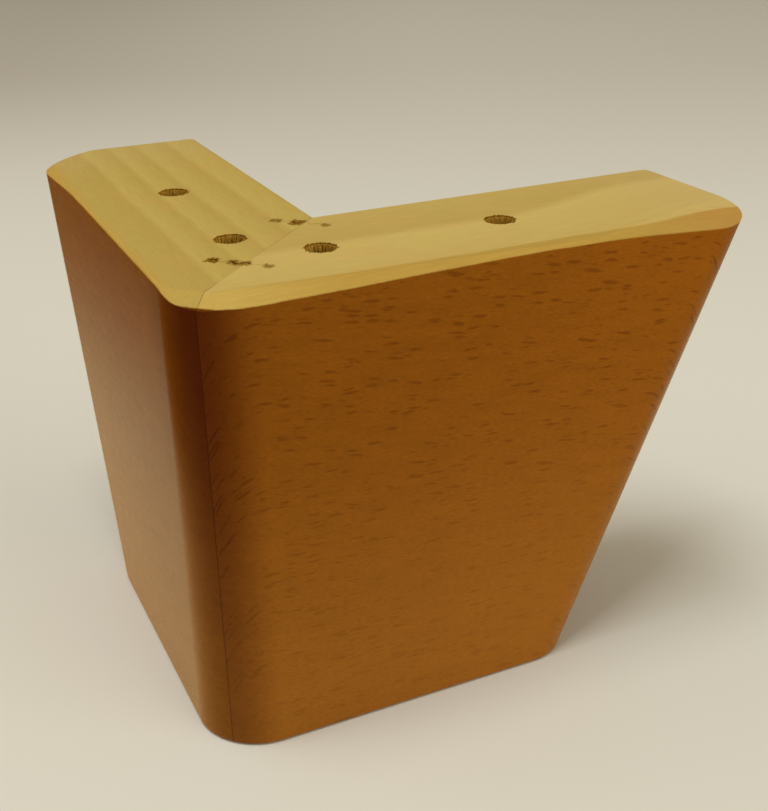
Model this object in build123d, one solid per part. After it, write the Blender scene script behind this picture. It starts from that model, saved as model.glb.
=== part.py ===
from build123d import *
from math import cos, radians, sin, sqrt, tan
import os

# Boards, in millimetres, with both arms measured from the sharp outer corner before it is rounded
height = 100.0
arm_top = 130.0
arm_sole = 87.0
board_thickness = 42.5
corner_radius = 14.0
outer_end_radius = 10.5
inner_end_radius = 2.0
edge_ease = 1.0

# Flats sanded on the top's outer edge: how wide each one is, how long it runs and how steeply it falls
corner_flat_width = 3.7
corner_flat_fall = 32.0
front_flat_width = 5.6
front_flat_length = 100.0
front_flat_fall = 22.0
end_flat_width = 15.0
end_flat_length = 45.0
end_flat_fall = 11.5

# Blind holes for the fixing screws, two in each arm along the middle of the board
hole_diameter = 6.5
hole_depth = 30.0
hole_spacing = 41.0
hole_from_mitre = 14.2
drill_point_angle = 118.0

# Corrugated fasteners driven down across the mitre
fastener_length = 14.0
fastener_depth = 12.0
fastener_gauge = 0.6
fastener_waves = 4
fastener_wave_height = 1.1
fastener_sink = 0.4
fastener_offset = 0.8
inner_fastener_inset = 5.2
outer_fastener_inset = 20.7

# The glued joint between the boards, where the normal points into the right board
mitre = Plane(origin=(0, 0, 0), x_dir=(1, 1, 0), z_dir=(1, -1, 0))
rounded_corner_distance = corner_radius * (sqrt(2) - 1)
inner_corner_distance = board_thickness * sqrt(2)


def on_both_arms(points):
    """The points on the right arm and the points that match them on the left arm."""
    return points + [(y, x, z) for x, y, z in points]


def round_edge(shape, point, radius):
    """Round the edge of the shape that passes through the point."""
    return fillet(shape.edges().sort_by_distance(point)[0], radius)


def plain_arm():
    """The right arm as a plain board, with its end cut back in a straight slope towards the sole."""
    side = Polyline((0, 0), (arm_sole, 0), (arm_top, height), (0, height), close=True)
    return extrude(Plane.XZ * make_face(side), board_thickness, dir=(0, 1, 0))


def rounded_block():
    """Both arms joined at the mitre, with the corner, the ends and then every rim rounded."""
    block = plain_arm() + mirror(plain_arm(), about=mitre)
    middle = height / 2
    end_middle = (arm_top + arm_sole) / 2
    block = round_edge(block, (0, 0, middle), corner_radius)
    for point in on_both_arms([(end_middle, 0, middle)]):
        block = round_edge(block, point, outer_end_radius)
    for point in on_both_arms([(end_middle, board_thickness, middle)]):
        block = round_edge(block, point, inner_end_radius)
    top_and_sole = [block.faces().sort_by(Axis.Z)[-1], block.faces().sort_by(Axis.Z)[0]]
    rims = [edge for face in top_and_sole for edge in face.edges()]
    return fillet(rims, edge_ease)


def sand_flat(block, start, finish, fall):
    """Take a flat off the top's edge, falling outwards from the line between two points on the top."""
    ridge = Vector(*finish, 0) - Vector(*start, 0)
    outwards = Vector(ridge.Y, -ridge.X, 0).normalized()
    normal = outwards * sin(radians(fall)) + Vector(0, 0, cos(radians(fall)))
    flat = Plane(origin=(*start, height), x_dir=ridge, z_dir=normal)
    return split(block, bisect_by=flat, keep=Keep.BOTTOM)


def sanded(block):
    """The block with its four flats: at the corner, along the right arm and at the end of each arm."""
    corner_reach = (rounded_corner_distance + corner_flat_width) * sqrt(2)
    end_flat_start = arm_top - end_flat_length
    block = sand_flat(block, (0, corner_reach), (corner_reach, 0), corner_flat_fall)
    block = sand_flat(block, (0, front_flat_width), (front_flat_length, 0), front_flat_fall)
    block = sand_flat(block, (end_flat_start, 0), (arm_top, end_flat_width), end_flat_fall)
    return sand_flat(block, (end_flat_width, arm_top), (0, end_flat_start), end_flat_fall)


def drilled_hole():
    """The space that a drill leaves below its mouth, with the cone of its point."""
    radius = hole_diameter / 2
    tip = hole_depth + radius / tan(radians(drill_point_angle / 2))
    half = Polyline((0, 0), (radius, 0), (radius, -hole_depth), (0, -tip), close=True)
    return revolve(Plane.XZ * make_face(half), Axis.Z)


def holes():
    """The four drilled holes, each opening in the top."""
    nearest = board_thickness / 2 + hole_from_mitre
    line = [(nearest + number * hole_spacing, board_thickness / 2, height) for number in range(2)]
    return [Pos(*point) * drilled_hole() for point in on_both_arms(line)]


def wave_strip(depth):
    """A corrugated strip hanging down from the top, with its waves along X, across the mitre."""
    half_wave = fastener_length / (2 * fastener_waves)
    bends = []
    for number in range(2 * fastener_waves):
        start = number * half_wave - fastener_length / 2 - fastener_offset
        rise = fastener_wave_height / 2 * (-1) ** number
        bends.append(ThreePointArc((start, 0), (start + half_wave / 2, rise), (start + half_wave, 0)))
    return extrude(trace(bends, line_width=fastener_gauge), -depth)


def fastener_places():
    """Where the inner and the outer fastener are driven, across the mitre at the top."""
    inner = inner_corner_distance - inner_fastener_inset
    outer = rounded_corner_distance + outer_fastener_inset
    return [
        Plane(origin=(distance / sqrt(2), distance / sqrt(2), height), x_dir=(1, -1, 0), z_dir=(0, 0, 1))
        for distance in (inner, outer)
    ]


def boards():
    """The right and the left board, cut apart at the mitre."""
    slots = [place * wave_strip(fastener_sink + fastener_depth) for place in fastener_places()]
    block = sanded(rounded_block()) - holes() - slots
    return split(block, bisect_by=mitre, keep=Keep.TOP), split(block, bisect_by=mitre, keep=Keep.BOTTOM)


def fasteners():
    """The inner and the outer fastener, each sunk a little below the top."""
    strip = Pos(0, 0, -fastener_sink) * wave_strip(fastener_depth)
    return [place * strip for place in fastener_places()]


right_board, left_board = boards()
inner_fastener, outer_fastener = fasteners()
pieces = {
    "right_board": right_board,
    "left_board": left_board,
    "inner_fastener": inner_fastener,
    "outer_fastener": outer_fastener,
}

# The foot stands on its sole, with the middle of its bounding box over the origin
middle = Compound(list(pieces.values())).bounding_box().center()
to_origin = Pos(-middle.X, -middle.Y, 0)
print("outer corner at", -middle.X, -middle.Y)
os.makedirs("parts", exist_ok=True)
for name, piece in pieces.items():
    export_step(to_origin * piece, f"parts/{name}.step")
    print(name, "volume", round(piece.volume), "cubic mm")
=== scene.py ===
# %% [markdown]
# # A mitred beech corner foot
#
# This lesson dresses a wooden foot in Blender. The foot is an L of two thick beech boards, glued at a mitre
# and pulled together by two corrugated fasteners. It was stained an orange brown and then sanded bare on
# top, where it is screwed under a sofa or a cabinet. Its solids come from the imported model, so nothing here
# moves or resizes them: the script adds wood, stain, steel, torn fibres, light and a camera.

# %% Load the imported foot
import math
import bmesh
import bpy
from mathutils import Matrix, Vector


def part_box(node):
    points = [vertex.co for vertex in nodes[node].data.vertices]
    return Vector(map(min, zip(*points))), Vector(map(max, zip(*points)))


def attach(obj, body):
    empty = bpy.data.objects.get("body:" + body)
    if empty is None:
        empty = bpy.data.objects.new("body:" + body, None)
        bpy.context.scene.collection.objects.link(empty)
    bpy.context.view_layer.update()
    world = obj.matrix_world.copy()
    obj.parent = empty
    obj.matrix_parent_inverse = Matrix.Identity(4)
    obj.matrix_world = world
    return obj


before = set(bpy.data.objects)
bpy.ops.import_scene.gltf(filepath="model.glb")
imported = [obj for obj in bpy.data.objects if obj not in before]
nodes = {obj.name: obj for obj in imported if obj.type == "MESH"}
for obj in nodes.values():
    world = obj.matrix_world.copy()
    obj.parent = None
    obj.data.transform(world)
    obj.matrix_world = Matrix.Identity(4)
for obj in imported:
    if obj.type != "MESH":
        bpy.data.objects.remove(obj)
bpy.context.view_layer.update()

MM = 0.001
print("pieces:", ", ".join(sorted(nodes)))

# %% [markdown]
# Every pattern of the wood is easiest to write in millimetres from the sharp outer corner of the L, because
# that is where such a foot is measured from when it is marked out. The corner's place comes from the boxes
# of the two boards: the left board's low x face and the right board's low y face are the two outer faces.

# %% Find the outer corner
outer_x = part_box("left_board")[0][0]
outer_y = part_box("right_board")[0][1]
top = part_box("right_board")[1][2] / MM
corner = Vector((outer_x, outer_y, 0.0))
print("outer corner at", [round(c / MM, 2) for c in corner], "mm, top at", round(top, 2), "mm")

# %% [markdown]
# The holes, the fasteners and the sanded flats are all in the solids already. The finish needs their places
# too, because a drill darkens the wall of its hole and sandpaper takes the stain off just below each flat.
# All sizes are in millimetres.

# %% Name the places that the finish follows
board_thickness = 42.5
hole_radius = 3.25
hole_distances = (35.45, 76.45)
fastener_distances = {"inner": 54.9, "outer": 26.5}
fastener_length = 14.0
fastener_waves = 4
fastener_wave_height = 1.1
fastener_offset = 0.8
slot_width = 0.6
print("holes at", hole_distances, "mm along each arm, on the middle of the board")

# %% [markdown]
# The camera stands at the photograph's viewpoint: close, a little to the left of the corner and above it.
# Its lens and place were worked out from the foot's straight edges. Three directions turn it: to the right
# of its picture, to the top of it, and backwards. The third is square to the other two, so it is worked out
# from them.

# %% Set up the camera
camera_data = bpy.data.cameras.new("photo_camera")
camera = bpy.data.objects.new("photo_camera", camera_data)
bpy.context.collection.objects.link(camera)
bpy.context.scene.camera = camera
focal_pixels = 1219.4
picture_height = 811.0
camera_data.sensor_width = 36.0
camera_data.lens = focal_pixels * 36.0 / picture_height
camera_data.clip_start = 0.01
stand = corner + Vector((-51.04, -195.73, 173.60)) * MM
rightward = Vector((0.905304, -0.424427, -0.016929))
upward = Vector((0.192957, 0.375418, 0.906548))
backward = rightward.cross(upward)
turned = Matrix((rightward, upward, backward)).transposed().to_4x4()
camera.matrix_world = Matrix.Translation(stand) @ turned
distance = round((stand - corner).length / MM)
print("lens", round(camera_data.lens, 1), "mm, camera", distance, "mm from the corner")

# %% [markdown]
# Node trees are long to write by hand, so a few small helpers come first. They add a node and fill its
# sockets, do arithmetic, fade from one value to another, mix two colours, shade a colour, and turn the
# colour that an eye would pick on a screen into the linear light that Blender mixes.


# %% Helpers for node trees
def add(tree, kind, inputs=None, **settings):
    """Add a node, set its options, and fill or link its inputs by name or number."""
    node = tree.nodes.new(kind)
    for key, value in settings.items():
        setattr(node, key, value)
    for key, value in (inputs or {}).items():
        if isinstance(value, bpy.types.NodeSocket):
            tree.links.new(value, node.inputs[key])
        else:
            node.inputs[key].default_value = value
    return node


def calc(tree, operation, *values, clamp=False):
    """One step of arithmetic between sockets or numbers."""
    node = add(tree, "ShaderNodeMath", dict(enumerate(values)), operation=operation, use_clamp=clamp)
    return node.outputs[0]


def sway(tree, value, wave, amount):
    """A value pushed up and down by noise that runs from 0 to 1."""
    return calc(tree, "MULTIPLY_ADD", calc(tree, "SUBTRACT", wave, 0.5), amount, value)


def fade(tree, value, start, end, low=0.0, high=1.0):
    """A smooth change from low to high as the value goes from start to end."""
    sizes = {"Value": value, "From Min": start, "From Max": end, "To Min": low, "To Max": high}
    return add(tree, "ShaderNodeMapRange", sizes, interpolation_type="SMOOTHSTEP").outputs["Result"]


def blend(tree, amount, first, second, way="MIX"):
    """Two colours mixed by an amount."""
    node = add(tree, "ShaderNodeMix", data_type="RGBA", blend_type=way)
    for socket, value in zip((node.inputs[0], node.inputs[6], node.inputs[7]), (amount, first, second)):
        if isinstance(value, bpy.types.NodeSocket):
            tree.links.new(value, socket)
        else:
            socket.default_value = value
    return node.outputs[2]


def shaded(tree, colour, level):
    """A colour made darker or lighter, where a level of 1 leaves it as it is."""
    grey = add(tree, "ShaderNodeCombineColor", {0: level, 1: level, 2: level}).outputs[0]
    return blend(tree, 1.0, colour, grey, "MULTIPLY")


def paint(red, green, blue):
    """A screen colour of 0 to 255 as linear light."""
    def linear(part):
        part = part / 255
        return part / 12.92 if part <= 0.04045 else ((part + 0.055) / 1.055) ** 2.4
    return (linear(red), linear(green), linear(blue), 1.0)


def new_finish(name):
    """An empty material with its shader, ready to wire."""
    finish = bpy.data.materials.new(name)
    finish.use_nodes = True
    return finish, finish.node_tree, finish.node_tree.nodes["Principled BSDF"]


print("helpers ready")

# %% [markdown]
# ## Beech
#
# Beech is told by its rays: thin ribbons that run out from the middle of the tree. Where a face cuts them
# they show as short dark dashes along the grain, and where a corner is rounded across the grain they show
# as slanting lines. A flat picture of dashes could not do both, so the rays here are a solid pattern. It is
# worked out in the board's own directions: along the grain, across the rays and along the rays. The same
# goes for the growth rings and the fine fibres, which are noise stretched along the grain.


# %% Directions inside a board
def board_places(tree, grain):
    """Millimetres from the outer corner: along the grain, in from the outer face, and up."""
    where = add(tree, "ShaderNodeTexCoord").outputs["Object"]
    shift = {"Vector": where, "Scale": (1 / MM,) * 3, "Location": tuple(-corner / MM)}
    in_mm = add(tree, "ShaderNodeMapping", shift)
    parts = add(tree, "ShaderNodeSeparateXYZ", {0: in_mm.outputs[0]}).outputs
    if grain == "X":
        return parts[0], parts[1], parts[2]
    return parts[1], parts[0], parts[2]


def mitre_places(tree, x, y):
    """Millimetres across the mitre, towards the right board, and out from the corner along it."""
    across = calc(tree, "MULTIPLY", calc(tree, "SUBTRACT", x, y), math.sqrt(0.5))
    outward = calc(tree, "MULTIPLY", calc(tree, "ADD", x, y), math.sqrt(0.5))
    return across, outward


def stretched(tree, along, inward, up, sizes, offset=0.0):
    """A point for a texture, where each direction is divided by the size of its features."""
    divided = [calc(tree, "DIVIDE", value, size) for value, size in zip((along, inward, up), sizes)]
    shifted = calc(tree, "ADD", divided[0], offset)
    return add(tree, "ShaderNodeCombineXYZ", {0: shifted, 1: divided[1], 2: divided[2]}).outputs[0]


def noise(tree, point, detail=2.0, roughness=0.5):
    """Soft noise from 0 to 1."""
    sizes = {"Vector": point, "Scale": 1.0, "Detail": detail, "Roughness": roughness}
    return add(tree, "ShaderNodeTexNoise", sizes).outputs[0]


print("a board is measured along its grain, inward from its outer face, and up")

# %% [markdown]
# A ray is a ribbon up to 4 mm long along the grain and a fraction of a millimetre thick. Voronoi cells,
# squeezed to those proportions and turned to the ray's direction, give one ribbon in each cell. Each cell's
# own random colour says how large its ribbon is, and many stay too small to see. The rays of these boards
# run steeply, only some 20 degrees off the tall faces, so the faces cut them into dashes and the rounded
# corner cuts them into slanting lines. Noise staggers the cells, so that the dashes don't line up in rows,
# and frays their ends.

# %% Rays
ray_angle = math.radians(70.0)
ray_cell = (4.5, 26.0, 0.32)
ray_reach = 0.43
ray_softness = 0.15


def rays(tree, along, inward, up, seed, slant):
    """How strongly a point lies in a ray, from 0 to 1."""
    tilt = fade(tree, up, 15.0, 80.0, 0.0, slant)
    level = calc(tree, "MULTIPLY_ADD", along, tilt, up)
    stagger = noise(tree, stretched(tree, along, inward, up, (40.0, 40.0, 1.7), seed + 2.0), 1.0)
    along = calc(tree, "MULTIPLY_ADD", stagger, 7.0, along)
    wander = noise(tree, stretched(tree, along, inward, up, (9.0, 12.0, 5.0), seed))
    level = calc(tree, "MULTIPLY_ADD", wander, 2.4, level)
    radial = calc(tree, "MULTIPLY", inward, math.cos(ray_angle))
    radial = calc(tree, "MULTIPLY_ADD", level, -math.sin(ray_angle), radial)
    tangent = calc(tree, "MULTIPLY", inward, math.sin(ray_angle))
    tangent = calc(tree, "MULTIPLY_ADD", level, math.cos(ray_angle), tangent)
    point = stretched(tree, along, radial, tangent, ray_cell, seed)
    cells = add(tree, "ShaderNodeTexVoronoi", {"Vector": point, "Scale": 1.0, "Randomness": 1.0})
    drawn = add(tree, "ShaderNodeSeparateColor", {0: cells.outputs["Color"]}).outputs[0]
    reach = calc(tree, "MULTIPLY", calc(tree, "POWER", drawn, 1.4), ray_reach)
    frayed = noise(tree, stretched(tree, along, inward, up, (1.5, 1.5, 0.3), seed), 2.0)
    reach = sway(tree, reach, frayed, 0.35)
    near = calc(tree, "SUBTRACT", reach, cells.outputs["Distance"])
    return fade(tree, near, -ray_softness, ray_softness)


print("rays stand", round(math.degrees(ray_angle)), "degrees out of the level")

# %% [markdown]
# Growth rings are where the tree stopped for a winter. The top cuts them into bands along each arm. Each
# band changes quickly on one side and fades slowly on the other, so a colour ramp across the board draws
# them, and it needs only the places of the quick changes. Noise that is long along the grain bends them a
# little. Towards the end of the right arm its one wide band sweeps inward. Fibres are the finest streaks,
# and figure is the soft mottling of the tall faces.


# %% Growth rings, fibres and figure
def growth_rings(tree, along, inward, up, seed, edges, pale_inside):
    """Light and dark growth across the board, from 0 to 1, with a quick change at each edge."""
    wander = noise(tree, stretched(tree, along, inward, up, (60.0, 30.0, 12.0), seed + 3.0))
    bent = sway(tree, inward, wander, 2.4)
    if not pale_inside:
        near_end = fade(tree, along, 76.0, 118.0, 0.0, 10.0)
        swept = calc(tree, "MULTIPLY", near_end, fade(tree, inward, 9.0, 22.0))
        bent = calc(tree, "SUBTRACT", bent, swept)
    ramp = add(tree, "ShaderNodeValToRGB", {0: calc(tree, "DIVIDE", bent, board_thickness)})
    ramp.color_ramp.elements.remove(ramp.color_ramp.elements[1])
    ramp.color_ramp.elements[0].color = (0.5, 0.5, 0.5, 1.0)
    outside, inside, soft = (0.1, 1.0, 0.8) if pale_inside else (1.0, 0.05, 1.9)
    for edge in edges:
        for place, tone in ((edge - soft, outside), (edge + soft, inside)):
            stop = ramp.color_ramp.elements.new(place / board_thickness)
            stop.color = (tone, tone, tone, 1.0)
    last = ramp.color_ramp.elements.new(1.0)
    last.color = (0.4, 0.4, 0.4, 1.0)
    return ramp.outputs[0]


def fibres(tree, along, inward, up, seed):
    """Fine streaks along the grain, from 0 to 1."""
    return noise(tree, stretched(tree, along, inward, up, (8.0, 0.4, 0.5), seed), 3.0, 0.6)


def figure(tree, along, inward, up, seed):
    """Soft slanting mottling, a few millimetres wide, from 0 to 1."""
    level = calc(tree, "MULTIPLY_ADD", along, 0.12, up)
    return noise(tree, stretched(tree, along, inward, level, (11.0, 20.0, 2.6), seed + 11.0), 3.0, 0.55)


print("growth rings, fibres and figure ready")

# %% [markdown]
# ## Where the sandpaper went
#
# The stain covers all but the top. Sanding the top flat also took the stain off its rim, in flats that fall
# away at the corner, along the right arm and at both ends. Each flat is a plane, so a point's height over a
# plane says whether sandpaper reached it. The highest of these heights decides, with a little noise,
# because stain never ends in a ruled line. At the corner the wood is bare to 2 mm below the top, and to
# less along the arms, so the lowest strip of the steeper flats keeps its stain. Towards the end of each arm
# the whole flat is bare.

# %% Planes of the sanded flats
corner_radius = 14.0
corner_flat_width = 3.7
corner_reach = (corner_radius * (math.sqrt(2) - 1) + corner_flat_width) * math.sqrt(2)
arm_top = 130.0
end_flat_start = arm_top - 45.0
flats = {
    "corner": ((0.0, corner_reach), (corner_reach, 0.0), 32.0),
    "front": ((0.0, 5.6), (100.0, 0.0), 22.0),
    "right end": ((end_flat_start, 0.0), (arm_top, 15.0), 11.5),
    "left end": ((15.0, arm_top), (0.0, end_flat_start), 11.5),
}


def flat_normal(start, finish, fall):
    """The upward normal of a flat that falls away to the right of the line from start to finish."""
    run = (Vector(finish) - Vector(start)).normalized()
    fall = math.radians(fall)
    return Vector((run.y * math.sin(fall), -run.x * math.sin(fall), math.cos(fall)))


def sanding_height(tree, x, y, z):
    """How far a point reaches over the nearest sanded plane, in millimetres."""
    reach = calc(tree, "SUBTRACT", z, top - 0.45)
    for start, finish, fall in flats.values():
        normal = flat_normal(start, finish, fall)
        from_start = normal.x * start[0] + normal.y * start[1] + normal.z * top
        height = calc(tree, "MULTIPLY", x, normal.x)
        height = calc(tree, "MULTIPLY_ADD", y, normal.y, height)
        height = calc(tree, "MULTIPLY_ADD", z, normal.z, height)
        over_plane = calc(tree, "SUBTRACT", height, from_start - 0.2)
        reach = calc(tree, "SMOOTH_MAX", reach, over_plane, 1.2)
    farther = calc(tree, "MAXIMUM", x, y)
    deepest = fade(tree, farther, 0.0, 80.0, 1.95, 0.65)
    deepest = calc(tree, "ADD", deepest, fade(tree, farther, 78.0, 100.0, 0.0, 5.0))
    over_deepest = calc(tree, "ADD", calc(tree, "SUBTRACT", z, top), deepest)
    return calc(tree, "SMOOTH_MIN", reach, over_deepest, 0.3)


for name, flat in flats.items():
    print(name, "flat, normal", [round(c, 2) for c in flat_normal(*flat)])

# %% [markdown]
# ## Holes, slots and the joint
#
# A drill tears the soft fibres of beech, so the wall of a hole is dark and combed with upright lines. Only
# its dark rim is the wood's colour; deeper down the wall is painted pale, painted light against the shade in
# the hole.
# A fastener crushes the wood beside it as it is driven, in dark patches along its wave, and between them the
# torn fibres close over it again. All three places can be found from the sizes of the model.


# %% Darkness in the holes
def hole_wall(tree, along, inward, comb):
    """1 on the wall of the drilled holes and in the torn comb just round their mouths."""
    shade = None
    point = add(tree, "ShaderNodeCombineXYZ", {0: along, 1: inward}).outputs[0]
    for distance in hole_distances:
        centre = (distance, board_thickness / 2, 0.0)
        away = add(tree, "ShaderNodeVectorMath", {0: point, 1: centre}, operation="DISTANCE").outputs["Value"]
        ragged = sway(tree, away, comb, 2.0)
        near = fade(tree, ragged, hole_radius + torn_rim, hole_radius - 0.02)
        near = calc(tree, "MAXIMUM", near, calc(tree, "LESS_THAN", away, hole_radius + 0.06))
        shade = near if shade is None else calc(tree, "MAXIMUM", shade, near)
    return shade


torn_rim = 0.40
print("wood darkens about", torn_rim, "mm outside the rims of the holes, more or less by its comb")

# %% [markdown]
# The dark patches differ in length, width and depth of colour, as the wood gave way and as the open slot
# lies in shade, which is painted shade, so each one is written down as where it starts and ends along its
# fastener, how far it reaches to each side, and how dark it is.

# %% Darkness along the fasteners
crushed_and_shaded_patches = {
    "inner": ((0.0, 2.6, 0.9, 0.75), (4.6, 7.7, 1.6, 0.92), (11.6, 13.7, 0.8, 0.65)),
    "outer": ((-0.7, 2.1, 1.1, 1.0), (4.0, 6.6, 1.1, 0.85), (6.3, 8.8, 1.1, 0.8), (11.5, 13.7, 0.8, 0.7)),
}
crushed_and_shaded_depth = 0.7


def fastener_wave(tree, from_end):
    """The wave of a fastener, from -1 to 1, by the distance from its end."""
    turns = 2 * math.pi * fastener_waves / fastener_length
    return calc(tree, "SINE", calc(tree, "MULTIPLY", from_end, turns))


def crushed_and_shaded_wood(tree, x, y, z, rough, comb):
    """1 in the dark patches along both fasteners, crushed wood and painted shade of the open slot, combed
    across the fastener.
    """
    across, outward = mitre_places(tree, x, y)
    from_end = calc(tree, "ADD", across, fastener_length / 2 + fastener_offset)
    wave = calc(tree, "MULTIPLY", fastener_wave(tree, from_end), fastener_wave_height / 4)
    shade = None
    for name, distance in fastener_distances.items():
        from_line = calc(tree, "SUBTRACT", outward, distance)
        off = calc(tree, "ABSOLUTE", calc(tree, "SUBTRACT", from_line, wave))
        ragged = sway(tree, off, comb, 1.9)
        for start, finish, width, depth in crushed_and_shaded_patches[name]:
            side = slot_width / 2 + width
            near = fade(tree, ragged, side + 0.35, side - 0.35)
            middle, half = (start + finish) / 2, (finish - start) / 2
            along = calc(tree, "ABSOLUTE", calc(tree, "SUBTRACT", from_end, middle))
            along = sway(tree, along, rough, 1.2)
            dark = fade(tree, along, half + 0.3, half - 0.4, 0.0, depth)
            patch = calc(tree, "MULTIPLY", near, dark)
            shade = patch if shade is None else calc(tree, "MAXIMUM", shade, patch)
    return calc(tree, "MULTIPLY", shade, calc(tree, "GREATER_THAN", z, top - crushed_and_shaded_depth))


# The patches are crushed wood and painted shade of the open slots.
print("wood is crushed in", sum(len(found) for found in crushed_and_shaded_patches.values()), "patches")

# %% [markdown]
# The joint is a hairline: dark where stain soaked into it at the corner, faint and broken across the bare
# top.


# %% Darkness of the joint
def glue_line(tree, x, y, rough, broad):
    """How dark the hairline of the mitre is."""
    across, outward = mitre_places(tree, x, y)
    away = calc(tree, "MULTIPLY_ADD", rough, 0.12, calc(tree, "ABSOLUTE", across))
    line = fade(tree, away, 0.26, 0.08)
    gaps = fade(tree, broad, 0.35, 0.6, 0.15, 0.6)
    broken = calc(tree, "MULTIPLY", fade(tree, outward, 34.0, 40.0), gaps)
    shown = calc(tree, "MAXIMUM", fade(tree, outward, 17.0, 11.0, 0.12, 0.55), broken)
    return calc(tree, "MULTIPLY", line, shown)


print("the joint's hairline is about a quarter of a millimetre wide")

# %% [markdown]
# ## The boards' finish
#
# One function makes the finish of either board, so that both come from the same tree but differ in tone,
# partly as two pieces of real wood do and partly as painted light: a painted sheen on the right board's top
# and a paler stain on the left board's shaded face. Bare beech is pale and dull, and its rim is more orange,
# where a breath of stain is left. Towards the end of each arm the rim widens with the flat.


# %% Bare beech
def bare_beech(tree, places, seed, tones, edges, pale_inside, fibre, ray):
    """The sanded top: growth rings, an orange rim and faint fibres."""
    along, inward, up = places
    pale, dark, rim = tones
    ring = growth_rings(tree, along, inward, up, seed, edges, pale_inside)
    wood = blend(tree, ring, dark, pale)
    wander = noise(tree, stretched(tree, along, inward, up, (26.0, 60.0, 60.0), seed + 7.0))
    if pale_inside:
        edge = calc(tree, "MULTIPLY_ADD", wander, 1.6, fade(tree, along, 80.0, 125.0, 0.6, 2.4))
        edge = calc(tree, "SUBTRACT", edge, 0.2)
        soft = 1.6
    else:
        edge = calc(tree, "MULTIPLY_ADD", wander, 1.4, fade(tree, along, 96.0, 127.0, 3.3, 8.0))
        edge = calc(tree, "ADD", edge, fade(tree, along, 40.0, 8.0, 0.0, 2.0))
        soft = 0.5
        rim = blend(tree, fade(tree, along, 4.0, 36.0), paint(189, 157, 78), rim)
        rim = blend(tree, fade(tree, along, 96.0, 124.0), rim, paint(177, 133, 62))
    tint = noise(tree, stretched(tree, along, inward, up, (13.0, 7.0, 60.0), seed + 15.0), 2.0)
    wood = blend(tree, fade(tree, tint, 0.48, 0.72, 0.0, 0.16), wood, paint(201, 148, 82))
    wood = blend(tree, fade(tree, along, 95.0, 128.0, 0.0, 0.16), wood, paint(188, 162, 118))
    depth = calc(tree, "SUBTRACT", edge, inward)
    wood = blend(tree, fade(tree, depth, -soft, soft), wood, rim)
    wood = shaded(tree, wood, fade(tree, fibre, 0.2, 0.8, 0.955, 1.10))
    return blend(tree, calc(tree, "MULTIPLY", ray, 0.06), wood, paint(150, 100, 45))


print("bare beech ready")

# %% [markdown]
# Stain sinks deeper into rays and end grain, so both turn darker. The rounded corner, which cuts across the
# grain, is the darkest place, partly from that and partly from painted shade that deepens towards its top. On
# the plain faces it took unevenly. It is mottled, banded and full of fine pores, and it is drawn a little
# lighter along each arm, which is painted light. One helper gives that unevenness and painted light, and one
# says where the end grain and its painted shade show.


# %% How the stain took, with painted light and shade on it
def stain_level(tree, places, grain, mottle):
    """How light the stain is drawn, about 1: mottled, banded and pored, with painted light along the arm and
    at the top.
    """
    along, inward, up = places
    band = noise(tree, stretched(tree, along, inward, up, (45.0, 30.0, 7.0), 40.0), 2.0)
    slanting = calc(tree, "MULTIPLY_ADD", along, 0.15, up)
    pores = noise(tree, stretched(tree, along, inward, slanting, (1.3, 6.0, 0.42)), 2.0, 0.6)
    strength = fade(tree, up, 10.0, 90.0, 0.030, 0.060)
    level = calc(tree, "MULTIPLY", fade(tree, mottle, 0.25, 0.75, -1.0, 1.0), strength)
    level = calc(tree, "ADD", level, fade(tree, band, 0.3, 0.7, -0.018, 0.018))
    level = calc(tree, "ADD", level, fade(tree, pores, 0.3, 0.7, -0.08, 0.08))
    # Painted light: the stain is drawn lighter towards the end of each arm.
    level = calc(tree, "ADD", level, fade(tree, along, 8.0, 122.0, 0.93, 1.13))
    # Painted light high on the right arm near its end, and painted shade high on the left board.
    if grain == "X":
        painted_light_and_shade = fade(tree, up, 60.0, 95.0, 0.0, 0.06)
        painted_light_and_shade = calc(tree, "MULTIPLY", fade(tree, along, 70.0, 120.0), painted_light_and_shade)
    else:
        painted_light_and_shade = fade(tree, up, 80.0, 98.0, 0.0, -0.06)
    return calc(tree, "ADD", level, painted_light_and_shade)


def stain_and_shade_across_grain(tree, up, grain, depth):
    """How dark a face across the grain is drawn: end-grain stain with painted shade, full at the corner, less
    at the far end.
    """
    facing = add(tree, "ShaderNodeSeparateXYZ", {0: add(tree, "ShaderNodeNewGeometry").outputs["Normal"]})
    facing_end = facing.outputs[0 if grain == "X" else 1]
    facing_corner = calc(tree, "MULTIPLY", facing_end, -1.0)
    # Painted shade: faces turned towards the corner are drawn darker than those turned to the far end.
    shown = calc(tree, "MAXIMUM", facing_corner, calc(tree, "MULTIPLY", facing_end, 0.4))
    # Painted shade: deeper towards the top of the face.
    deepest = fade(tree, up, 0.0, 95.0, 0.48, depth)
    return calc(tree, "MULTIPLY", fade(tree, shown, -0.12, 0.72), deepest)


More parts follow.
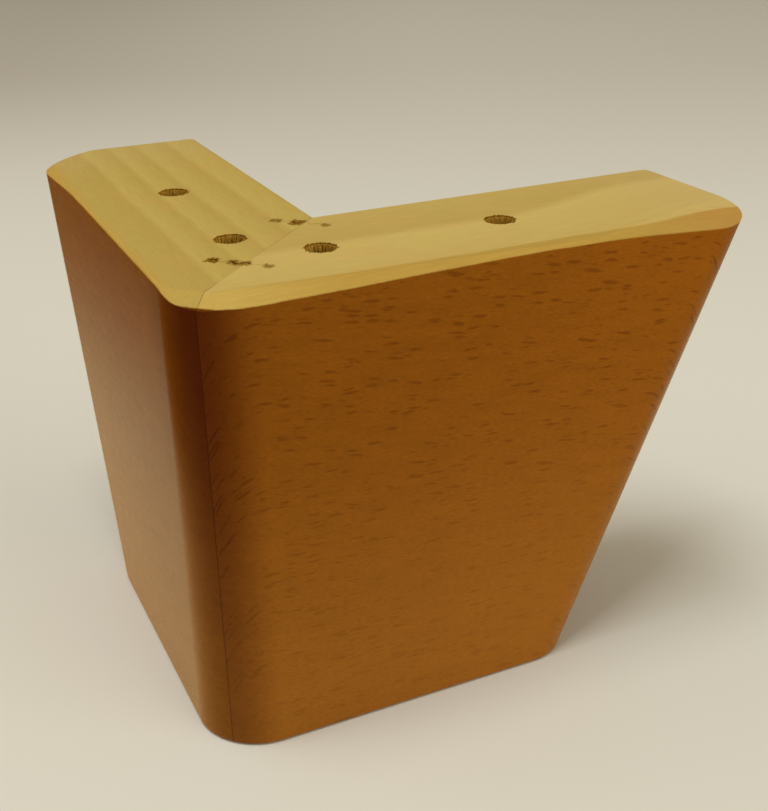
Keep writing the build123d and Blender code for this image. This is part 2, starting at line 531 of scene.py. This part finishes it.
# %% Stained beech
def stained_beech(tree, places, tones, grain, fibre, ray, mottle, ray_strength, end_grain_and_shade_depth, corner_shade):
    """The stained faces: darker rays, fibres and end grain, a little paler towards the floor as painted
    bounce light, and painted shade high on the rounded corner.
    """
    along, _, up = places
    high, low, dark = tones
    # Painted light from the floor: the low tone makes the faces paler towards the floor.
    wood = blend(tree, fade(tree, up, 0.0, 80.0), low, high)
    wood = shaded(tree, wood, stain_level(tree, places, grain, mottle))
    wood = blend(tree, fade(tree, fibre, 0.45, 0.85, 0.0, 0.14), wood, dark)
    # Painted shade: darker high on the rounded corner, near the joint.
    painted_corner_shade = fade(tree, up, 45.0, 95.0, 0.0, corner_shade)
    painted_corner_shade = calc(tree, "MULTIPLY", fade(tree, along, 26.0, 9.0), painted_corner_shade)
    wood = blend(tree, painted_corner_shade, wood, dark)
    # End-grain stain with painted shade.
    end_grain_and_shade = stain_and_shade_across_grain(tree, up, grain, end_grain_and_shade_depth)
    wood = blend(tree, end_grain_and_shade, wood, dark)
    strength = fade(tree, up, 20.0, 80.0, 0.42 * ray_strength, ray_strength)
    strength = calc(tree, "MULTIPLY_ADD", end_grain_and_shade, 0.6 * ray_strength, strength)
    deeper = blend(tree, end_grain_and_shade, paint(82, 34, 0), paint(48, 9, 0))
    return blend(tree, calc(tree, "MULTIPLY", ray, strength), wood, deeper)


print("stained beech ready")

# %% [markdown]
# The whole finish is bare beech where sandpaper went and stained beech elsewhere, with the holes and their
# painted light, the crushed patches with painted shade of the open slots, and the joint laid over it. A thin
# lacquer gives the stained wood its soft shine, and bare wood is duller. The shine is weak, and it is the
# same all over, so it is set on the shader's own socket.
# The rays are sunk a little on the right board. On the left board, which the photograph shows at a sharp
# angle, they are fainter and almost colour alone.


# %% Finish for a board
def board_finish(name, grain, seed, bare_tones, stain_tones, edges, pale_inside,
                 slant, ray_strength, end_grain_and_shade_depth, corner_shade):
    """Bare beech on top, stained and lacquered beech elsewhere."""
    finish, tree, shader = new_finish(name)
    places = along, inward, up = board_places(tree, grain)
    x, y = (along, inward) if grain == "X" else (inward, along)
    rough = noise(tree, stretched(tree, along, inward, up, (0.9, 0.5, 0.8), seed), 2.0)
    broad = noise(tree, stretched(tree, along, inward, up, (9.0, 6.0, 6.0), seed + 5.0), 2.0)
    fibre = fibres(tree, along, inward, up, seed)
    ray = rays(tree, along, inward, up, seed, slant)
    mottle = figure(tree, along, inward, up, seed)
    bare = bare_beech(tree, places, seed, bare_tones, edges, pale_inside, fibre, ray)
    stained = stained_beech(tree, places, stain_tones, grain, fibre, ray, mottle,
                            ray_strength, end_grain_and_shade_depth, corner_shade)

    reach = sway(tree, sanding_height(tree, x, y, up), broad, 0.25)
    reach = sway(tree, reach, rough, 0.12)
    is_bare = fade(tree, reach, -0.16, 0.1)
    colour = blend(tree, is_bare, stained, bare)

    comb_point = stretched(tree, along, inward, up, (0.22, 0.22, 6.0), seed)
    comb = fade(tree, noise(tree, comb_point, 2.0), 0.35, 0.65)
    # Painted light: the wall deep in a hole is drawn far paler than the wood, so that it shows through the
    # hole's shade.
    torn = blend(tree, comb, paint(222, 178, 76), paint(238, 200, 108))
    across, outward = mitre_places(tree, x, y)
    teeth = noise(tree, stretched(tree, across, outward, up, (0.38, 2.2, 5.0), seed), 1.0)
    tooth = blend(tree, fade(tree, teeth, 0.35, 0.65), paint(104, 69, 3), paint(144, 102, 18))
    wall = hole_wall(tree, along, inward, teeth)
    mouth = fade(tree, up, top - 0.7, top - 0.1)
    colour = blend(tree, wall, colour, blend(tree, mouth, torn, tooth))
    # Crushed wood and painted shade of the open slots.
    colour = blend(tree, crushed_and_shaded_wood(tree, x, y, up, rough, teeth), colour, tooth)
    glue = blend(tree, is_bare, paint(40, 12, 0), paint(112, 76, 24))
    colour = blend(tree, glue_line(tree, x, y, rough, broad), colour, glue)
    tree.links.new(colour, shader.inputs["Base Color"])

    dull = calc(tree, "MULTIPLY_ADD", fibre, 0.06, 0.24)
    dull = calc(tree, "MULTIPLY_ADD", is_bare, 0.35, dull)
    tree.links.new(calc(tree, "MULTIPLY_ADD", wall, 0.2, dull, clamp=True), shader.inputs["Roughness"])
    shader.inputs["Specular IOR Level"].default_value = 0.05
    dent = -2.0 * ray_strength if grain == "X" else -0.1
    relief = calc(tree, "MULTIPLY_ADD", ray, dent, calc(tree, "MULTIPLY", fibre, 0.5))
    bump = add(tree, "ShaderNodeBump", {"Strength": 0.15, "Distance": 0.05 * MM, "Height": relief})
    tree.links.new(bump.outputs[0], shader.inputs["Normal"])
    return finish


# The boards' tones differ partly as two woods do and partly as painted light: a painted sheen makes the right
# top paler, and the left board's stain is drawn paler for its shaded face.
right_finish = board_finish(
    "right_board_beech", "X", seed=0.0,
    bare_tones=(paint(195, 167, 92), paint(181, 152, 78), paint(177, 141, 63)),
    stain_tones=(paint(136, 78, 11), paint(152, 94, 27), paint(70, 15, 0)),
    edges=(23.0,), pale_inside=False, slant=0.14, ray_strength=0.40, end_grain_and_shade_depth=0.78,
    corner_shade=0.13,
)
left_finish = board_finish(
    "left_board_beech", "Y", seed=21.0,
    bare_tones=(paint(185, 158, 80), paint(175, 146, 70), paint(184, 146, 66)),
    stain_tones=(paint(138, 78, 3), paint(158, 99, 19), paint(66, 13, 0)),
    edges=(10.6, 18.0, 25.3, 33.8), pale_inside=True, slant=-0.08, ray_strength=0.20, end_grain_and_shade_depth=0.85,
    corner_shade=0.40,
)
print("finishes:", right_finish.name, left_finish.name)

# %% [markdown]
# ## Steel
#
# Only the top edges of the two fasteners show, a little below the wood in their slots. The steel is dull
# and dark, browned by the wood's acid, so a mottled brown, half metallic and rough, is enough.


# %% Finish for the fasteners
def steel_finish():
    """Dull fastener steel, spotted with brown."""
    finish, tree, shader = new_finish("dull_steel")
    where = add(tree, "ShaderNodeTexCoord").outputs["Object"]
    spots = add(tree, "ShaderNodeTexNoise", {"Vector": where, "Scale": 900.0, "Detail": 4.0}).outputs[0]
    colour = blend(tree, fade(tree, spots, 0.4, 0.65), paint(120, 86, 30), paint(94, 62, 12))
    tree.links.new(colour, shader.inputs["Base Color"])
    tree.links.new(fade(tree, spots, 0.3, 0.7, 0.4, 0.75), shader.inputs["Roughness"])
    shader.inputs["Metallic"].default_value = 0.5
    bump = add(tree, "ShaderNodeBump", {"Strength": 0.3, "Distance": 0.05 * MM, "Height": spots})
    tree.links.new(bump.outputs[0], shader.inputs["Normal"])
    return finish


steel = steel_finish()
print("finish:", steel.name)

# %% [markdown]
# The solids keep their shapes, so dressing one only means putting its finish in its material slots.


# %% Put the finishes on the solids
def dress(name, finish):
    """Put a finish on every material slot of a solid."""
    for slot in nodes[name].material_slots:
        slot.material = finish
    print(name, "wears", finish.name)


dress("right_board", right_finish)
dress("left_board", left_finish)
dress("inner_fastener", steel)
dress("outer_fastener", steel)

# %% [markdown]
# ## Torn fibres
#
# Two things are too fine for the solids and too solid for a pattern. A drill leaves a comb of torn
# splinters just inside the mouth of its hole, and over a driven fastener the fibres spring back and close
# parts of the slot. Both repeat along a line, so Geometry Nodes grow them: points along the line, one
# splinter on each point, with its turn and length drawn from a fixed seed. The result is kept as a plain
# mesh.


# %% Helpers for growing splinters
def growth_tree(name, sizes):
    """An empty Geometry Nodes tree with a named input for each size."""
    tree = bpy.data.node_groups.new(name, "GeometryNodeTree")
    tree.interface.new_socket("Geometry", in_out="OUTPUT", socket_type="NodeSocketGeometry")
    tree.interface.new_socket("Geometry", in_out="INPUT", socket_type="NodeSocketGeometry")
    for label, kind in sizes.items():
        tree.interface.new_socket(label, in_out="INPUT", socket_type="NodeSocket" + kind)
    return tree, add(tree, "NodeGroupInput").outputs, add(tree, "NodeGroupOutput")


def chance(tree, low, high, seed, salt):
    """A random number for each point."""
    mixed = calc(tree, "ADD", seed, float(salt))
    limits = {2: low, 3: high, "Seed": mixed}
    return add(tree, "FunctionNodeRandomValue", limits, data_type="FLOAT").outputs[1]


def joined(tree, x, y, z):
    """Three numbers as one vector."""
    return add(tree, "ShaderNodeCombineXYZ", {0: x, 1: y, 2: z}).outputs[0]


def total(tree, first, second):
    """The sum of two vectors."""
    return add(tree, "ShaderNodeVectorMath", {0: first, 1: second}, operation="ADD").outputs[0]


def times(tree, vector, number):
    """A vector made longer or shorter."""
    return add(tree, "ShaderNodeVectorMath", {0: vector, "Scale": number}, operation="SCALE").outputs[0]


def grow(tree, end, points, direction, scale, finish, tip):
    """A four-sided splinter on each point, lying along a direction, as real geometry with its finish."""
    shape = {"Vertices": 4, "Side Segments": 2, "Radius Top": tip, "Radius Bottom": 0.5, "Depth": 1.0}
    splinter = add(tree, "GeometryNodeMeshCone", shape).outputs["Mesh"]
    turned = add(tree, "FunctionNodeAlignRotationToVector", {"Vector": direction}, axis="Z").outputs[0]
    placing = {"Points": points, "Instance": splinter, "Rotation": turned, "Scale": scale}
    placed = add(tree, "GeometryNodeInstanceOnPoints", placing).outputs[0]
    solid = add(tree, "GeometryNodeRealizeInstances", {"Geometry": placed}).outputs[0]
    dressed = add(tree, "GeometryNodeSetMaterial", {"Geometry": solid, "Material": finish}).outputs[0]
    tree.links.new(dressed, end.inputs[0])


def grown(tree, values):
    """The plain mesh that a tree makes with these values."""
    carrier = bpy.data.objects.new("carrier", bpy.data.meshes.new("carrier"))
    bpy.context.collection.objects.link(carrier)
    modifier = carrier.modifiers.new("growth", "NODES")
    modifier.node_group = tree
    for item in tree.interface.items_tree:
        if item.in_out == "INPUT" and item.name in values:
            modifier[item.identifier] = values[item.name]
    bpy.context.view_layer.update()
    shaped = carrier.evaluated_get(bpy.context.evaluated_depsgraph_get())
    mesh = bpy.data.meshes.new_from_object(shaped)
    bpy.data.objects.remove(carrier)
    return mesh


def one_piece(name, meshes, finish):
    """One object from several meshes, riding on the foot."""
    whole = bmesh.new()
    for mesh in meshes:
        whole.from_mesh(mesh)
    for face in whole.faces:
        face.material_index = 0
    bmesh.ops.recalc_face_normals(whole, faces=whole.faces)
    result = bpy.data.meshes.new(name)
    whole.to_mesh(result)
    whole.free()
    result.materials.append(finish)
    piece = bpy.data.objects.new(name, result)
    bpy.context.collection.objects.link(piece)
    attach(piece, "root")
    print(name, len(result.polygons), "faces")


# %% [markdown]
# The comb in a hole hangs from its rim: each splinter starts on the wall, a little below the top, and
# points down and slightly inwards.


# %% Comb of splinters in a hole
def torn_mouth_tree():
    """A tree that grows the comb of one hole, in metres."""
    tree, given, end = growth_tree("torn_mouth", {
        "Middle": "Vector", "Radius": "Float", "Count": "Int", "Length": "Float", "Width": "Float",
        "Seed": "Int", "Finish": "Material",
    })
    turn = chance(tree, 0.0, 2 * math.pi, given["Seed"], 1)
    outward = joined(tree, calc(tree, "COSINE", turn), calc(tree, "SINE", turn), 0.0)
    inset = chance(tree, 0.0, 0.35 * MM, given["Seed"], 2)
    from_middle = times(tree, outward, calc(tree, "MULTIPLY_ADD", inset, -1.0, given["Radius"]))
    drop = joined(tree, 0.0, 0.0, chance(tree, -0.7 * MM, -0.15 * MM, given["Seed"], 3))
    spot = total(tree, total(tree, given["Middle"], from_middle), drop)
    points = add(tree, "GeometryNodePoints", {"Count": given["Count"], "Position": spot}).outputs[0]
    lean = chance(tree, -0.5, -0.02, given["Seed"], 4)
    hang = total(tree, times(tree, outward, lean), (0.0, 0.0, -1.0))
    length = calc(tree, "MULTIPLY", given["Length"], chance(tree, 0.4, 1.0, given["Seed"], 5))
    size = joined(tree, given["Width"], given["Width"], length)
    grow(tree, end, points, hang, size, given["Finish"], tip=0.12)
    return tree


mouth_tree = torn_mouth_tree()
print("comb tree has", len(mouth_tree.nodes), "nodes")

# %% [markdown]
# The fibres that close a slot lie along the board's grain, just under the top, and follow the fastener's
# wave. They wear the board's own finish: its pattern depends only on the place, so it runs on over them
# without a join.


# %% Fibres that close a slot
def closing_fibres_tree():
    """A tree that grows the fibres over one stretch of a slot, worked out in millimetres from the corner."""
    tree, given, end = growth_tree("closing_fibres", {
        "Distance": "Float", "Start": "Float", "Finish end": "Float", "Grain": "Vector", "Count": "Int",
        "Length": "Float", "Seed": "Int", "Finish": "Material",
    })
    along = chance(tree, 0.0, 1.0, given["Seed"], 1)
    span = calc(tree, "SUBTRACT", given["Finish end"], given["Start"])
    from_end = calc(tree, "MULTIPLY_ADD", along, span, given["Start"])
    wave = fastener_wave(tree, from_end)
    outward = calc(tree, "MULTIPLY_ADD", wave, fastener_wave_height / 2, given["Distance"])
    outward = calc(tree, "ADD", outward, chance(tree, -0.25, 0.25, given["Seed"], 2))
    across = calc(tree, "SUBTRACT", from_end, fastener_length / 2 + fastener_offset)
    place_x = calc(tree, "MULTIPLY", calc(tree, "ADD", outward, across), math.sqrt(0.5))
    place_y = calc(tree, "MULTIPLY", calc(tree, "SUBTRACT", outward, across), math.sqrt(0.5))
    level = chance(tree, top - 0.19, top - 0.17, given["Seed"], 3)
    middle = joined(tree, place_x, place_y, level)
    aside = chance(tree, -0.16, 0.16, given["Seed"], 4)
    direction = total(tree, given["Grain"], joined(tree, aside, aside, 0.0))
    length = calc(tree, "MULTIPLY", given["Length"], chance(tree, 0.7, 1.2, given["Seed"], 5))
    back_half = times(tree, direction, calc(tree, "MULTIPLY", length, -0.5))
    spot = total(tree, times(tree, total(tree, middle, back_half), MM), tuple(corner))
    points = add(tree, "GeometryNodePoints", {"Count": given["Count"], "Position": spot}).outputs[0]
    size = joined(tree, 0.3 * MM, 0.3 * MM, calc(tree, "MULTIPLY", length, MM))
    grow(tree, end, points, direction, size, given["Finish"], tip=0.40)
    return tree


slot_tree = closing_fibres_tree()
print("closing tree has", len(slot_tree.nodes), "nodes")

# %% [markdown]
# The torn splinters in the holes get a finish of their own, lighter than the wall behind them, so that the
# comb stands out against the dark. Both its tones are painted light, paler than the wood, against the hole's
# shade.


# %% Finish for the torn splinters
def torn_finish():
    """Darkened wood, lighter where a splinter has split fresh, both tones drawn paler as painted light
    against the hole's shade.
    """
    finish, tree, shader = new_finish("torn_beech")
    where = add(tree, "ShaderNodeTexCoord").outputs["Object"]
    parts = add(tree, "ShaderNodeSeparateXYZ", {0: where}).outputs
    fine_point = stretched(tree, parts[0], parts[1], parts[2], (0.35 * MM, 0.35 * MM, 3 * MM))
    fine = noise(tree, fine_point, 2.0)
    # Painted light: both tones are paler than the wood, so that the splinters show in the hole's shade.
    colour = blend(tree, fade(tree, fine, 0.35, 0.65), paint(164, 119, 30), paint(186, 143, 50))
    tree.links.new(colour, shader.inputs["Base Color"])
    tree.links.new(fade(tree, fine, 0.3, 0.7, 0.6, 0.9), shader.inputs["Roughness"])
    shader.inputs["Specular IOR Level"].default_value = 0.1
    bump = add(tree, "ShaderNodeBump", {"Strength": 0.3, "Distance": 0.03 * MM, "Height": fine})
    tree.links.new(bump.outputs[0], shader.inputs["Normal"])
    return finish


torn_beech = torn_finish()
print("finish:", torn_beech.name)

# %% [markdown]
# Each board gets two pieces: the combs of its two holes, and the fibres over its share of the two slots. A
# stretch with 30 fibres to a millimetre is closed. One with 9 is half open, so a faint mark still shows.


# %% Grow the splinters of each board
def torn_mouths(name, across_x, seed, count):
    """The combs of splinters in one board's two holes."""
    meshes = []
    for number, distance in enumerate(hole_distances):
        place = (distance, board_thickness / 2) if across_x else (board_thickness / 2, distance)
        middle = corner + Vector((place[0], place[1], top)) * MM
        values = {"Middle": tuple(middle), "Radius": hole_radius * MM, "Count": count, "Length": 3.2 * MM,
                  "Width": 0.28 * MM, "Seed": seed + number, "Finish": torn_beech}
        meshes.append(grown(mouth_tree, values))
    one_piece(name, meshes, torn_beech)


def closed_slots(name, grain, finish, stretches):
    """The fibres over one board's stretches: each has a fastener, start, end and fibres to a millimetre."""
    meshes = []
    for number, (fastener, start, finish_end, per_mm) in enumerate(stretches):
        values = {"Distance": fastener_distances[fastener], "Start": start, "Finish end": finish_end,
                  "Grain": grain, "Count": int(per_mm * (finish_end - start)), "Length": 1.9,
                  "Seed": 40 + number, "Finish": finish}
        meshes.append(grown(slot_tree, values))
    one_piece(name, meshes, finish)


closed, half_open = 30, 9
torn_mouths("right_torn_mouths", across_x=True, seed=1, count=230)
torn_mouths("left_torn_mouths", across_x=False, seed=11, count=170)
closed_slots("right_closed_slots", (1.0, 0.0, 0.0), right_finish, (
    ("inner", 7.8, 11.6, closed), ("outer", 8.9, 11.5, closed),
    ("inner", 11.7, 13.4, half_open), ("outer", 11.6, 13.4, half_open),
))
closed_slots("left_closed_slots", (0.0, 1.0, 0.0), left_finish, (
    ("inner", 2.8, 4.7, closed), ("inner", 7.4, 7.8, closed),
    ("outer", 2.1, 4.0, closed), ("inner", 0.0, 2.6, half_open),
))

# %% [markdown]
# ## Floor and light
#
# The foot stands on a pale matt floor, and a large disc is enough for that. The floor darkens slowly into
# the distance, most of all on the far left, which is painted shade, and dissolves into the colour of the room
# before its edge, so that no rim shows from any side. In reflections alone it is painted a little paler and
# yellower, a painted reflection, as the lacquered faces show it.


# %% Floor
def floor_finish():
    """A pale matt floor with painted shade that darkens it into the distance, painted paler in reflections,
    dissolving into the room.
    """
    finish, tree, shader = new_finish("pale_table")
    where = add(tree, "ShaderNodeTexCoord").outputs["Object"]
    parts = add(tree, "ShaderNodeSeparateXYZ", {0: where}).outputs
    away_x, away_y = 0.417, 0.909  # the direction in which the floor darkens
    away = calc(tree, "MULTIPLY_ADD", parts[1], away_y, calc(tree, "MULTIPLY", parts[0], away_x))
    aside = calc(tree, "MULTIPLY_ADD", parts[1], -away_x, calc(tree, "MULTIPLY", parts[0], away_y))
    # Painted shade: darker into the distance and most on the far left.
    shade = blend(tree, fade(tree, away, 0.03, 0.80), paint(218, 212, 193), paint(196, 187, 169))
    far_left = calc(tree, "MULTIPLY", fade(tree, away, 0.35, 0.8), fade(tree, aside, 0.1, -0.4))
    shade = blend(tree, far_left, shade, paint(177, 167, 149))
    from_foot = add(tree, "ShaderNodeVectorMath", {0: where}, operation="LENGTH").outputs["Value"]
    # Painted reflection: paler and yellower in reflections only.
    mirrored = add(tree, "ShaderNodeLightPath").outputs["Is Glossy Ray"]
    shade = blend(tree, mirrored, shade, paint(245, 246, 204))
    tree.links.new(shade, shader.inputs["Base Color"])
    tree.links.new(fade(tree, from_foot, 1.6, 2.6, 1.0, 0.0), shader.inputs["Alpha"])
    shader.inputs["Roughness"].default_value = 0.9
    shader.inputs["Specular IOR Level"].default_value = 0.1
    return finish


def disc(name, radius, level):
    """A flat round sheet."""
    turns = [math.radians(angle) for angle in range(0, 360, 6)]
    rim = [(radius * math.cos(turn), radius * math.sin(turn), level) for turn in turns]
    mesh = bpy.data.meshes.new(name)
    mesh.from_pydata(rim, [], [list(range(len(rim)))])
    thing = bpy.data.objects.new(name, mesh)
    bpy.context.collection.objects.link(thing)
    return thing


floor = disc("floor", 4.0, 0.0)
floor.data.materials.append(floor_finish())
print("floor", floor.dimensions.x, "m across")

# %% [markdown]
# The lacquered faces mirror the floor beside the foot, brightly near it and hardly at all farther off, so
# the floor must end in something dark in reflections. A dark sheet of painted shade lies over it here, which
# only reflections see. It is clear beside the foot and grows dense away from it. On the left it is also half
# dense in front of a line that slants back from the corner, which keeps the shine off the strip beside the
# rounded corner.


# %% Painted shade for reflections
def reflection_shade_density(tree):
    """How dense the painted shade is, from 0 to 1, by its place beside the foot."""
    where = add(tree, "ShaderNodeTexCoord").outputs["Object"]
    from_foot = add(tree, "ShaderNodeVectorMath", {0: where}, operation="LENGTH").outputs["Value"]
    parts = add(tree, "ShaderNodeSeparateXYZ", {0: where}).outputs
    to_left = calc(tree, "MULTIPLY_ADD", parts[0], -1.0 / MM, corner.x / MM)
    behind = calc(tree, "MULTIPLY_ADD", parts[1], 1.0 / MM, -corner.y / MM)
    behind = calc(tree, "MAXIMUM", behind, 0.0)
    curved = calc(tree, "MULTIPLY", to_left, calc(tree, "POWER", behind, 0.7))
    on_left = fade(tree, curved, 500.0, 3100.0, 0.0, 0.99)
    steep = calc(tree, "DIVIDE", behind, calc(tree, "MAXIMUM", to_left, 1.0))
    in_front = fade(tree, steep, 5.2, 4.3, 0.0, 0.6)
    in_front = calc(tree, "MULTIPLY", in_front, fade(tree, from_foot, 0.13, 0.22))
    in_front = calc(tree, "MULTIPLY", in_front, fade(tree, to_left, 0.0, 20.0))
    on_left = calc(tree, "MAXIMUM", on_left, in_front)
    far_off = fade(tree, from_foot, 0.12, 0.36, 0.0, 0.8)
    on_right = calc(tree, "MULTIPLY", far_off, fade(tree, parts[0], -0.08, -0.04))
    return calc(tree, "MAXIMUM", on_left, on_right)


# A sheet of painted shade, seen only in reflections.
shade_sheet = disc("reflection_shade_sheet", 3.0, 0.001)
shade_sheet_finish, shade_sheet_tree, shade_sheet_shader = new_finish("reflection_shade_sheet")
shade_sheet_shader.inputs["Base Color"].default_value = paint(12, 10, 8)
shade_sheet_tree.links.new(reflection_shade_density(shade_sheet_tree), shade_sheet_shader.inputs["Alpha"])
shade_sheet.data.materials.append(shade_sheet_finish)
shade_sheet.visible_camera = False
shade_sheet.visible_diffuse = False
shade_sheet.visible_shadow = False
print("shade_sheet", round(shade_sheet.dimensions.x, 2), "m across")

# %% [markdown]
# Three wide square lamps light the foot: one above, one at the front right and one behind on the left. The
# one above gives the soft shadow beside the right arm. Each lamp's power is worked out from its distance and
# the share of full light that it should add, so that a colour renders about as it is written. The room adds
# the rest. It is pale where the camera sees it, and dim in reflections, so that the lacquer mirrors only
# the floor.


# %% Lamps and world
def lamp(name, direction, distance, size, level, colour):
    """A square lamp that adds this share of full light to a surface facing it, and isn't mirrored."""
    data = bpy.data.lights.new(name, "AREA")
    data.shape = "SQUARE"
    data.size = size
    data.color = colour
    data.energy = level * (math.pi * distance) ** 2
    thing = bpy.data.objects.new(name, data)
    place = Vector(direction).normalized() * distance
    thing.location = place
    thing.rotation_euler = (-place).to_track_quat("-Z", "Y").to_euler()
    thing.visible_glossy = False
    bpy.context.collection.objects.link(thing)
    print(name, round(data.energy, 1), "W")


cool, warm = (0.95, 1.02, 1.13), (1.0, 0.99, 0.95)
lamp("ceiling_lamp", (-0.20, -0.08, 1.0), distance=3.0, size=1.25, level=0.50, colour=cool)
lamp("front_lamp", (0.50, -0.82, 0.22), distance=3.0, size=2.6, level=0.64, colour=warm)
lamp("left_lamp", (-0.85, 0.45, 0.22), distance=3.0, size=2.6, level=0.46, colour=warm)
world = bpy.data.worlds.new("soft_room")
bpy.context.scene.world = world
world.use_nodes = True
room = world.node_tree
sky = room.nodes["Background"]
path = add(room, "ShaderNodeLightPath").outputs
seen = calc(room, "MAXIMUM", path["Is Camera Ray"], path["Is Transmission Ray"])
shown = blend(room, seen, (0.355, 0.320, 0.262, 1.0), paint(176, 168, 150))
shown = blend(room, path["Is Glossy Ray"], shown, paint(116, 108, 90))
room.links.new(shown, sky.inputs["Color"])
sky.inputs["Strength"].default_value = 1.0
bpy.context.scene.view_settings.view_transform = "Standard"
print("lamps and world ready")
